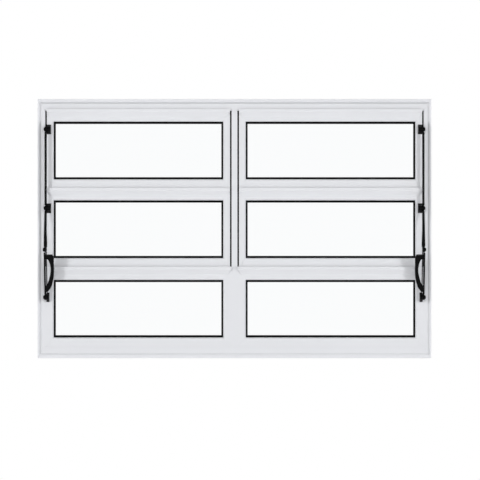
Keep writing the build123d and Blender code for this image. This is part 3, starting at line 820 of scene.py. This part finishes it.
def add_brushes(settings, pile):
    """Tufted strips in the running gaps, from the fixed panes up to the head."""
    low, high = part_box("brush_seals")
    spans = []
    below = low[2]
    for height in sorted(PIVOT_HEIGHTS):
        spans.append((below, height - BRUSH_BREAK))
        below = height + BRUSH_BREAK
    spans.append((below, high[2] + BRUSH_OVERRUN))
    bm = bmesh.new()
    for wall_x, inward in RUNNING_FACES:
        for start, end in spans:
            tufted_strip(bm, wall_x, inward, start, end, BRUSH_HEIGHT, BRUSH_WIDTH, settings.tuft_pitch)
    brushes = finish_mesh(bm, "brush_tufts", pile, "frame")
    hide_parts("brush_seals")


def add_bulbs(settings, rubber):
    """Bulb seals behind the room-side laps and inside the drip laps."""
    radius = (LAP_SPACE - settings.lap_seal_relief) / (1 + BULB_FLAT)
    for sash in TILTING:
        low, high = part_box(sash + "_rails")
        start, end = low[0] + SASH_BULB_INSET, high[0] - SASH_BULB_INSET
        bm = bmesh.new()
        bulb_seal(bm, start, end, low[1] + LAP_WALL + BULB_FLAT * radius, high[2] - radius, 1, radius)
        bulb_seal(bm, start, end, high[1] - LAP_WALL - BULB_FLAT * radius, low[2] + radius, -1, radius)
        finish_mesh(bm, sash + "_bulbs", rubber, sash + "_sash")
    low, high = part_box("transoms")
    bm = bmesh.new()
    for start, end in ((low[0], -MULLION_FACE), (MULLION_FACE, high[0])):
        bulb_seal(bm, start + TRANSOM_BULB_INSET, end - TRANSOM_BULB_INSET,
                  low[1] + LAP_WALL + BULB_FLAT * radius, high[2] - radius, 1, radius)
    finish_mesh(bm, "transom_bulbs", rubber, "frame")


class WINDOW_OT_fit_hardware(bpy.types.Operator):
    """Enamel the lugs, rods and links and add their screws and pin ends"""

    bl_idname = "window.fit_hardware"
    bl_label = "Fit hardware"

    def execute(self, context):
        settings = context.scene.window_hardware
        enamel = black_enamel(settings)
        lugs = [sash + "_lug" for sash in TILTING] + ["fulcrum_lugs"]
        bars = [side + "_" + kind for side, _ in SIDES for kind in ("rod", "link")]
        dress(lugs + bars, enamel)
        for name in lugs + bars:
            soften_edges(node(name), STEEL_EDGE)
        grips = [side + "_lever" for side, _ in SIDES]
        dress(grips, grip_nylon(settings))
        for name in grips:
            soften_edges(node(name), GRIP_EDGE, 3)
        add_lug_fittings(settings, enamel)
        add_lever_fittings(settings, enamel)
        add_ribs(settings, enamel)
        return {"FINISHED"}


def add_lug_fittings(settings, enamel):
    """Two screws in each lug of a sash, and the lock nut of its pin."""
    for sash in TILTING:
        side = -1 if sash.startswith("left") else 1
        kind = "rod" if sash.endswith("top") else "link"
        pin = JOINT_AT[sash.split("_")[0] + "_" + kind + "_swing"]
        low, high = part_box(sash + "_lug")
        outer, inner = (low[0], high[0]) if side < 0 else (high[0], low[0])
        bm = bmesh.new()
        lock_nut(bm, (outer, pin.y, pin.z), (side, 0, 0), settings.stud_radius)
        add_screw_pair(bm, inner + side * LUG_SCREW_INSET, pin, settings.screw_radius)
        finish_mesh(bm, sash + "_lug_fittings", enamel, sash + "_sash")


def add_screw_pair(bm, place_x, pin, radius):
    """Screws above and below a lug's nose."""
    forward, rise = SCREW_LEAN
    for up in (1, -1):
        place = (place_x, pin.y + SCREW_BACK, pin.z + up * SCREW_SPREAD)
        screw_head(bm, place, (0, forward, up * rise), radius)


def add_ribs(settings, enamel):
    """The round rib along the outer face of each rod, link and lever, between its two eyes."""
    for side, sign in SIDES:
        upper = JOINT_AT[side + "_rod_swing"]
        middle = JOINT_AT[side + "_link_swing"]
        fulcrum = JOINT_AT[side + "_lever_swing"]
        low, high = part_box(side + "_rod")
        outer = low[0] if sign < 0 else high[0]
        spans = (("rod", middle, upper), ("link", LEVER_JOINT, middle), ("lever", fulcrum, LEVER_JOINT))
        for kind, start, end in spans:
            span = Vector((0, end.y - start.y, end.z - start.z))
            run = span.length - 2 * settings.rib_margin
            axis = span.normalized()
            foot = Vector((outer, start.y, start.z)) + axis * settings.rib_margin
            radius = settings.rib_radius
            bm = bmesh.new()
            turned(bm, (
                (0.0, 0.25 * radius), (0.6 * radius, 0.8 * radius), (1.6 * radius, radius),
                (run - 1.6 * radius, radius), (run - 0.6 * radius, 0.8 * radius), (run, 0.25 * radius),
            ), 20, facing(foot, axis))
            finish_mesh(bm, side + "_" + kind + "_rib", enamel, side + "_" + kind)


def add_lever_fittings(settings, enamel):
    """Lock nuts of the levers' upper pins, and the fittings of the lugs that they swing on."""
    for side, sign in SIDES:
        low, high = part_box(side + "_lever")
        outer = low[0] if sign < 0 else high[0]
        bm = bmesh.new()
        place = (outer, LEVER_JOINT.y, LEVER_JOINT.z)
        lock_nut(bm, place, (sign, 0, 0), settings.stud_radius, settings.lever_flange)
        finish_mesh(bm, side + "_lever_fittings", enamel, side + "_lever")
    bm = bmesh.new()
    low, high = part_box("fulcrum_lugs")
    pin = JOINT_AT["left_lever_swing"]
    for sign, outer in ((-1, low[0]), (1, high[0])):
        lock_nut(bm, (outer, pin.y, pin.z), (sign, 0, 0), settings.stud_radius)
        add_screw_pair(bm, sign * FULCRUM_SCREWS, pin, settings.screw_radius)
    finish_mesh(bm, "fulcrum_fittings", enamel, "frame")


class WINDOW_OT_fit_pivots(bpy.types.Operator):
    """Fit the collars of the sash pivots, the pin screws and the drain caps"""

    bl_idname = "window.fit_pivots"
    bl_label = "Fit pivots"

    def execute(self, context):
        settings = context.scene.window_hardware
        nylon = grip_nylon(settings)
        bm = bmesh.new()
        for wall_x, inward in RUNNING_FACES:
            for height in PIVOT_HEIGHTS:
                turned(bm, COLLAR_STEPS, 28, facing((wall_x, 0, height), (inward, 0, 0)))
        finish_mesh(bm, "pivot_collars", nylon, "frame")
        bm = bmesh.new()
        for _, outward in SIDES:
            for height in PIVOT_HEIGHTS:
                screw_head(bm, (outward * JAMB_OUTSIDE, 0, height), (outward, 0, 0), PIN_SCREW_RADIUS)
        finish_mesh(bm, "pin_screws", bare_steel(), "frame")
        coat = node("sill").data.materials[0]
        bm = bmesh.new()
        rail_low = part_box("fixed_rails")[0][2]
        for centre in DRAIN_PLACES:
            hooded_cap(bm, (centre, SASH_FACE, rail_low + DRAIN_RISE), *DRAIN_SIZE)
        finish_mesh(bm, "drain_caps", coat, "frame")
        return {"FINISHED"}


class WINDOW_OT_build_stage(bpy.types.Operator):
    """Set the floor, the backdrop, the lamps and the camera"""

    bl_idname = "window.build_stage"
    bl_label = "Build stage"

    def execute(self, context):
        settings = context.scene.window_stage
        scene = context.scene
        low, high = CAD_BOX
        middle = Vector(((low[0] + high[0]) / 2, 0.0, (low[2] + high[2]) / 2))
        build_floor(settings, low)
        build_lamps(settings, middle)
        build_world(scene, settings)
        build_camera(scene, settings, middle)
        scene.view_settings.view_transform = "Standard"
        return {"FINISHED"}


def seen_directly(nodes, links):
    """The light path, and a value that is one where the camera looks plainly or through glass."""
    paths = nodes.new("ShaderNodeLightPath")
    camera, glass = paths.outputs["Is Camera Ray"], paths.outputs["Is Transmission Ray"]
    return paths, add_maths(nodes, links, "MAXIMUM", camera, glass)


def paper_white(name):
    """White paper that the camera, mirrors and glass see as plain white."""
    material = bpy.data.materials.new(name)
    material.use_nodes = True
    nodes = material.node_tree.nodes
    links = material.node_tree.links
    nodes.clear()
    output = nodes.new("ShaderNodeOutputMaterial")
    diffuse = nodes.new("ShaderNodeBsdfDiffuse")
    diffuse.inputs["Color"].default_value = (0.82, 0.82, 0.82, 1.0)
    glow = nodes.new("ShaderNodeEmission")
    glow.inputs["Strength"].default_value = 1.0
    paths, seen = seen_directly(nodes, links)
    mix = nodes.new("ShaderNodeMixShader")
    links.new(add_maths(nodes, links, "MAXIMUM", seen, paths.outputs["Is Glossy Ray"]), mix.inputs["Fac"])
    links.new(diffuse.outputs["BSDF"], mix.inputs[1])
    links.new(glow.outputs["Emission"], mix.inputs[2])
    links.new(mix.outputs["Shader"], output.inputs["Surface"])
    return material


def stage_sheet(name, reach, level, material):
    """A flat sheet of the stage."""
    bm = bmesh.new()
    bmesh.ops.create_grid(bm, x_segments=1, y_segments=1, size=reach)
    bmesh.ops.translate(bm, vec=(0, 0, level), verts=bm.verts)
    mesh = bpy.data.meshes.new(name)
    bm.to_mesh(mesh)
    bm.free()
    sheet = bpy.data.objects.new(name, mesh)
    bpy.context.scene.collection.objects.link(sheet)
    mesh.materials.append(material)


def build_floor(settings, low):
    """A wide pale floor under the window."""
    stage_sheet("floor", FLOOR_REACH, low[2] - settings.floor_drop, paper_white("floor_paper"))


def build_lamps(settings, middle):
    """Two lamps at the sides, two in front, above and below the picture, and one behind the window."""
    for name, offset, width, height, power, share in LAMPS:
        data = bpy.data.lights.new(name, "AREA")
        data.shape = "RECTANGLE"
        data.size = width
        data.size_y = height
        data.energy = share * getattr(settings, power)
        lamp = bpy.data.objects.new(name, data)
        lamp.location = middle + Vector(offset)
        lamp.visible_camera = False
        lamp.visible_transmission = False
        aim = middle - lamp.location
        lamp.rotation_euler = aim.to_track_quat("-Z", "Y").to_euler()
        bpy.context.scene.collection.objects.link(lamp)


def build_world(scene, settings):
    """Even room light, plain white where it is seen."""
    world = bpy.data.worlds.new("studio")
    scene.world = world
    world.use_nodes = True
    nodes = world.node_tree.nodes
    links = world.node_tree.links
    background = nodes["Background"]
    background.inputs["Color"].default_value = WHITE
    background.inputs["Strength"].default_value = settings.world_level
    plain = nodes.new("ShaderNodeBackground")
    plain.inputs["Color"].default_value = WHITE
    plain.inputs["Strength"].default_value = 1.0
    _, seen = seen_directly(nodes, links)
    mix = nodes.new("ShaderNodeMixShader")
    links.new(seen, mix.inputs["Fac"])
    links.new(background.outputs["Background"], mix.inputs[1])
    links.new(plain.outputs["Background"], mix.inputs[2])
    links.new(mix.outputs["Shader"], nodes["World Output"].inputs["Surface"])


def build_camera(scene, settings, middle):
    """A long lens square to the window's room face."""
    data = bpy.data.cameras.new("camera")
    camera = bpy.data.objects.new("camera", data)
    data.sensor_width = SENSOR_WIDTH
    data.lens = SENSOR_WIDTH * settings.camera_distance / settings.view_width
    data.clip_end = 100.0
    camera.location = (
        middle.x + settings.aim_right, -SASH_FACE - settings.camera_distance, middle.z + settings.aim_up,
    )
    camera.rotation_euler = (math.radians(90), 0.0, 0.0)
    scene.collection.objects.link(camera)
    scene.camera = camera


OPERATORS = (
    WINDOW_OT_coat_profiles,
    WINDOW_OT_glaze,
    WINDOW_OT_seal,
    WINDOW_OT_fit_hardware,
    WINDOW_OT_fit_pivots,
    WINDOW_OT_build_stage,
)


class WINDOW_PT_pivot_window(bpy.types.Panel):
    """Sizes, colours and steps of the pivot window"""

    bl_idname = "WINDOW_PT_pivot_window"
    bl_label = "Pivot window"
    bl_space_type = "VIEW_3D"
    bl_region_type = "UI"
    bl_category = "Window"

    def draw(self, context):
        scene = context.scene
        for group in SETTINGS:
            box = self.layout.box()
            settings = getattr(scene, group)
            for name in settings.__annotations__:
                box.prop(settings, name)
        for operator in OPERATORS:
            self.layout.operator(operator.bl_idname)


SETTINGS = {
    "window_coat": CoatSettings,
    "window_seals": SealSettings,
    "window_glass": GlassSettings,
    "window_hardware": HardwareSettings,
    "window_stage": StageSettings,
}


def register():
    """Adds the settings, the operators and the panel."""
    for name, group in SETTINGS.items():
        bpy.utils.register_class(group)
        setattr(bpy.types.Scene, name, PointerProperty(type=group))
    for operator in OPERATORS:
        bpy.utils.register_class(operator)
    bpy.utils.register_class(WINDOW_PT_pivot_window)


def unregister():
    """Removes them again."""
    bpy.utils.unregister_class(WINDOW_PT_pivot_window)
    for operator in reversed(OPERATORS):
        bpy.utils.unregister_class(operator)
    for name, group in SETTINGS.items():
        delattr(bpy.types.Scene, name)
        bpy.utils.unregister_class(group)


def main():
    """Builds the whole scene in order."""
    register()
    bpy.ops.window.coat_profiles()
    bpy.ops.window.glaze()
    bpy.ops.window.seal()
    bpy.ops.window.fit_hardware()
    bpy.ops.window.fit_pivots()
    bpy.ops.window.build_stage()


if __name__ == "__main__":
    main()
